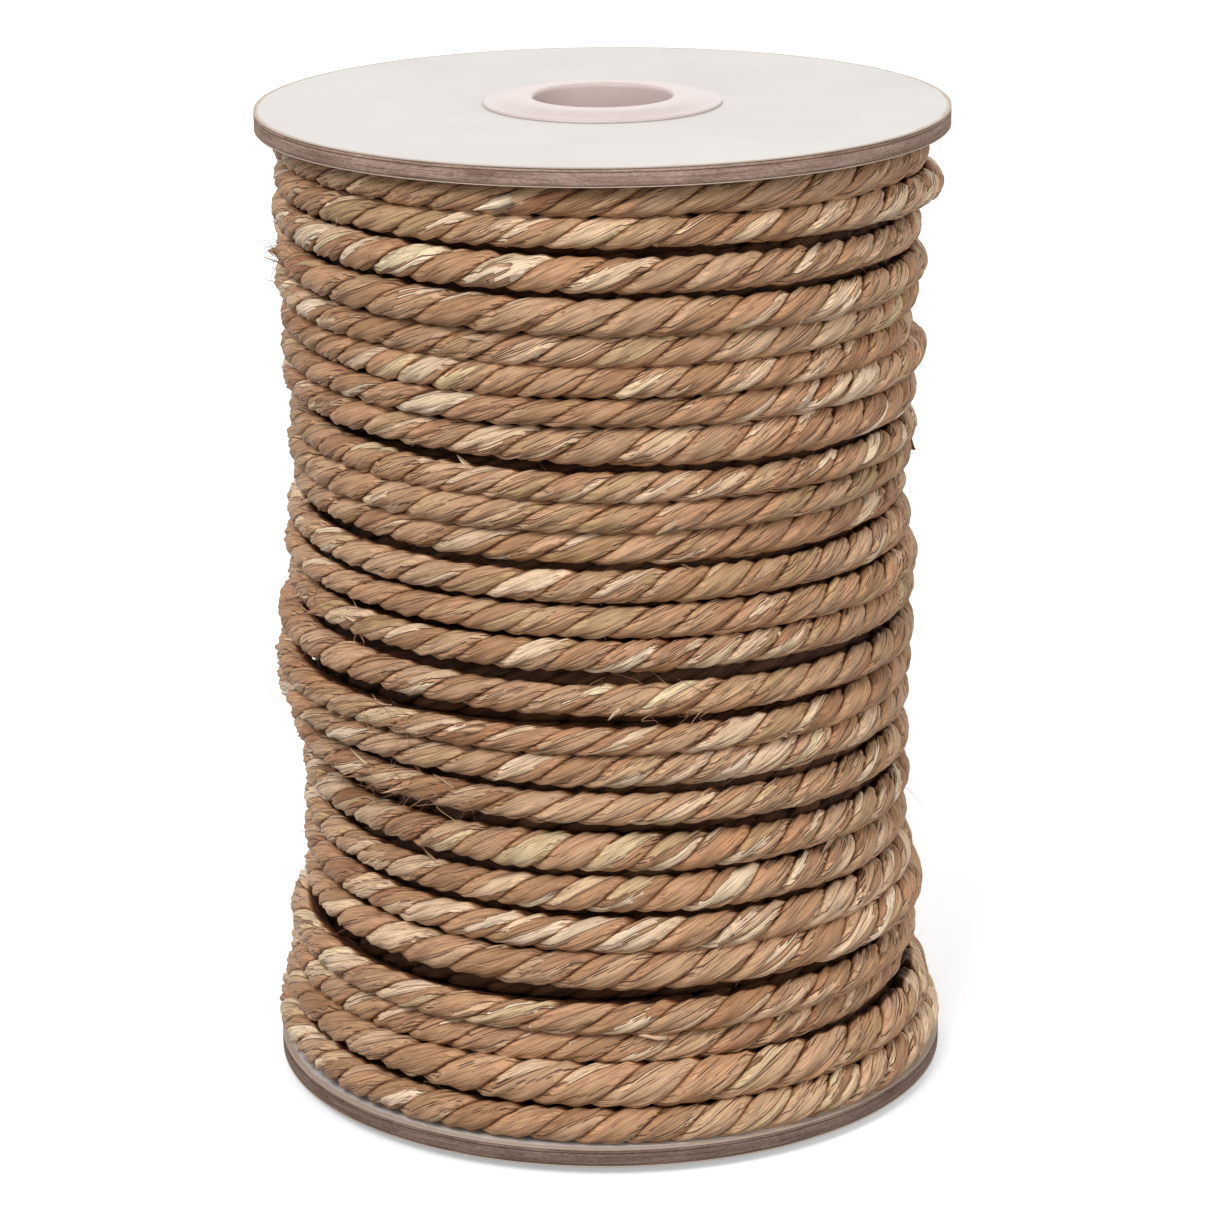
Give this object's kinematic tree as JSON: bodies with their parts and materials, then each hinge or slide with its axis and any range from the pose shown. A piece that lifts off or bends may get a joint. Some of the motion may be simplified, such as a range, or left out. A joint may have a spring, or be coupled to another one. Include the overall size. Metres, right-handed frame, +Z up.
{
  "type": "cord spool",
  "caption": "Spool of twisted seagrass cord: round paper-faced board flanges on a paperboard tube, clamped by plastic bushes with a through bore.",
  "frame": {"origin": "centre of the face that the spool stands on, the lower bush's plate", "axes": "+Z up along the bore, through both bushes; X and Y are alike, because the spool is round"},
  "size_m": [0.1, 0.1, 0.1462],
  "materials": {
    "greyboard": "matte",
    "white_paper": "matte",
    "kraft_tube": "matte",
    "white_plastic": "satin",
    "paper_tape": "matte",
    "seagrass": "matte"
  },
  "bodies": {
    "root": {"top_flange_board": "greyboard", "top_flange_face_paper": "white_paper", "top_flange_inner_paper": "white_paper", "bottom_flange_board": "greyboard", "bottom_flange_face_paper": "white_paper", "bottom_flange_inner_paper": "white_paper", "winding_tube": "kraft_tube", "upper_hub_bush": "white_plastic", "lower_hub_bush": "white_plastic", "start_tape": "paper_tape", "cord_winding": "seagrass"}
  },
  "joints": []
}
